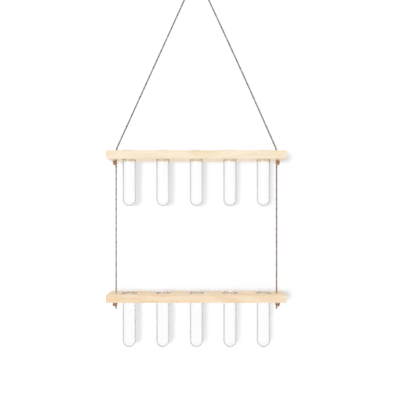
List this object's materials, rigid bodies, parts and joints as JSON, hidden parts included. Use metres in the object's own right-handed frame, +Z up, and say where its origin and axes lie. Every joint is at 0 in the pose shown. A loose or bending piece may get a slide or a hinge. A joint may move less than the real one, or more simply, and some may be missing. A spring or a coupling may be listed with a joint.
{
  "type": "hanging propagation vase",
  "caption": "Two-tier wall-hanging vase: wooden bars on twine, each holding a row of round-bottomed glass test tubes for cuttings in water.",
  "frame": {"origin": "the inside top of the twine's bight, where the nail or hook bears", "axes": "+X along the bars to the right as seen from the front, +Y into the wall, +Z up"},
  "size_m": [0.32, 0.038, 0.6762],
  "materials": {
    "pine": "sanded, unvarnished",
    "glass": "clear, fire polished",
    "twine": "twisted natural fibre",
    "knot_twine": "twisted natural fibre, browner where it is knotted"
  },
  "bodies": {
    "hanger": {"hanging_loop": "twine", "upper_rope_left": "twine", "upper_rope_right": "twine"},
    "upper_shelf": {"upper_bar": "pine"},
    "upper_knots": {"upper_knot_left": "knot_twine", "upper_knot_right": "knot_twine"},
    "left_strand": {"lower_rope_left": "twine"},
    "right_strand": {"lower_rope_right": "twine"},
    "lower_knots": {"lower_knot_left": "knot_twine", "lower_knot_right": "knot_twine"},
    "lower_shelf": {"lower_bar": "pine"},
    "upper_tube_1": {"upper_tube_1": "glass"},
    "upper_tube_2": {"upper_tube_2": "glass"},
    "upper_tube_3": {"upper_tube_3": "glass"},
    "upper_tube_4": {"upper_tube_4": "glass"},
    "upper_tube_5": {"upper_tube_5": "glass"},
    "lower_tube_1": {"lower_tube_1": "glass"},
    "lower_tube_2": {"lower_tube_2": "glass"},
    "lower_tube_3": {"lower_tube_3": "glass"},
    "lower_tube_4": {"lower_tube_4": "glass"},
    "lower_tube_5": {"lower_tube_5": "glass"}
  },
  "joints": [
    {"name": "upper_rock", "type": "hinge", "parent": "hanger", "child": "upper_shelf", "pos_m": [0, 0, -0.333], "axis": [1, 0, 0], "range_deg": [-3.5, 3.5]},
    {"name": "tier_swing", "type": "hinge", "parent": "hanger", "child": "upper_knots", "pos_m": [0, 0, -0.33905], "axis": [1, 0, 0], "range_deg": [-15, 0]},
    {"name": "left_sway", "type": "hinge", "parent": "upper_knots", "child": "left_strand", "pos_m": [-0.146, 0, -0.34644], "axis": [0, 1, 0], "range_deg": [-4, 4]},
    {"name": "right_sway", "type": "hinge", "parent": "upper_knots", "child": "right_strand", "pos_m": [0.146, 0, -0.34644], "axis": [0, 1, 0], "range_deg": [-4, 4]},
    {"name": "lower_level", "type": "hinge", "parent": "left_strand", "child": "lower_knots", "pos_m": [-0.146, 0, -0.57285], "axis": [0, 1, 0], "range_deg": [-4, 4]},
    {"name": "lower_rock", "type": "hinge", "parent": "lower_knots", "child": "lower_shelf", "pos_m": [0, 0, -0.589], "axis": [1, 0, 0], "range_deg": [-3.5, 3.5]},
    {"name": "upper_lift_1", "type": "slide", "parent": "upper_shelf", "child": "upper_tube_1", "axis": [0, 0, 1], "range_m": [0, 0.014]},
    {"name": "upper_lift_2", "type": "slide", "parent": "upper_shelf", "child": "upper_tube_2", "axis": [0, 0, 1], "range_m": [0, 0.098]},
    {"name": "upper_lift_3", "type": "slide", "parent": "upper_shelf", "child": "upper_tube_3", "axis": [0, 0, 1], "range_m": [0, 0.098]},
    {"name": "upper_lift_4", "type": "slide", "parent": "upper_shelf", "child": "upper_tube_4", "axis": [0, 0, 1], "range_m": [0, 0.098]},
    {"name": "upper_lift_5", "type": "slide", "parent": "upper_shelf", "child": "upper_tube_5", "axis": [0, 0, 1], "range_m": [0, 0.014]},
    {"name": "lower_lift_1", "type": "slide", "parent": "lower_shelf", "child": "lower_tube_1", "axis": [0, 0, 1], "range_m": [0, 0.098]},
    {"name": "lower_lift_2", "type": "slide", "parent": "lower_shelf", "child": "lower_tube_2", "axis": [0, 0, 1], "range_m": [0, 0.098]},
    {"name": "lower_lift_3", "type": "slide", "parent": "lower_shelf", "child": "lower_tube_3", "axis": [0, 0, 1], "range_m": [0, 0.098]},
    {"name": "lower_lift_4", "type": "slide", "parent": "lower_shelf", "child": "lower_tube_4", "axis": [0, 0, 1], "range_m": [0, 0.098]},
    {"name": "lower_lift_5", "type": "slide", "parent": "lower_shelf", "child": "lower_tube_5", "axis": [0, 0, 1], "range_m": [0, 0.098]}
  ],
  "couplings": [
    {"joint": "right_sway", "follows": "left_sway", "ratio": 1},
    {"joint": "lower_level", "follows": "left_sway", "ratio": -1}
  ]
}
